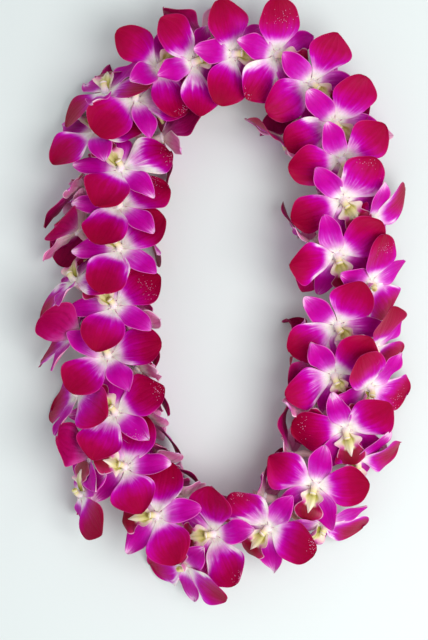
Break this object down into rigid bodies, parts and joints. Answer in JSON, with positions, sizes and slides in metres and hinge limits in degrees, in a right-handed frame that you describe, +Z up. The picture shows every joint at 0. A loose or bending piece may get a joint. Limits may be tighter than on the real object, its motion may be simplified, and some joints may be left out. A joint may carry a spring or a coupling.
{
  "type": "fresh flower lei",
  "caption": "Fresh orchid lei: magenta and white dendrobium blossoms strung on a closed cotton thread, laid flat as a long oval.",
  "frame": {"origin": "centre of the lei's bounding box, on the surface that it lies on", "axes": "+Z up from the surface; +Y along the oval's length; +X across it. Seen from above, the blossoms face clockwise."},
  "size_m": [0.264, 0.4274, 0.0634],
  "materials": {
    "orchid_petal": "velvety magenta petals, white at the heart, with faint veins",
    "cotton_thread": "twisted cotton"
  },
  "bodies": {
    "root": {"blossom_01": "orchid_petal", "blossom_02": "orchid_petal", "blossom_03": "orchid_petal", "blossom_04": "orchid_petal", "blossom_05": "orchid_petal", "blossom_06": "orchid_petal", "blossom_07": "orchid_petal", "blossom_08": "orchid_petal", "blossom_09": "orchid_petal", "blossom_10": "orchid_petal", "blossom_11": "orchid_petal", "blossom_12": "orchid_petal", "blossom_13": "orchid_petal", "blossom_14": "orchid_petal", "blossom_15": "orchid_petal", "blossom_16": "orchid_petal", "blossom_17": "orchid_petal", "blossom_18": "orchid_petal", "blossom_19": "orchid_petal", "blossom_20": "orchid_petal", "blossom_21": "orchid_petal", "blossom_22": "orchid_petal", "blossom_23": "orchid_petal", "blossom_24": "orchid_petal", "blossom_25": "orchid_petal", "blossom_26": "orchid_petal", "blossom_27": "orchid_petal", "blossom_28": "orchid_petal", "blossom_29": "orchid_petal", "blossom_30": "orchid_petal", "blossom_31": "orchid_petal", "blossom_32": "orchid_petal", "blossom_33": "orchid_petal", "blossom_34": "orchid_petal", "blossom_35": "orchid_petal", "blossom_36": "orchid_petal", "blossom_37": "orchid_petal", "blossom_38": "orchid_petal", "blossom_39": "orchid_petal", "blossom_40": "orchid_petal", "blossom_41": "orchid_petal", "blossom_42": "orchid_petal", "blossom_43": "orchid_petal", "blossom_44": "orchid_petal", "blossom_45": "orchid_petal", "blossom_46": "orchid_petal", "blossom_47": "orchid_petal", "blossom_48": "orchid_petal", "blossom_49": "orchid_petal", "blossom_50": "orchid_petal", "blossom_51": "orchid_petal", "blossom_52": "orchid_petal", "blossom_53": "orchid_petal", "blossom_54": "orchid_petal", "blossom_55": "orchid_petal", "blossom_56": "orchid_petal", "blossom_57": "orchid_petal", "blossom_58": "orchid_petal", "thread": "cotton_thread"}
  },
  "joints": []
}
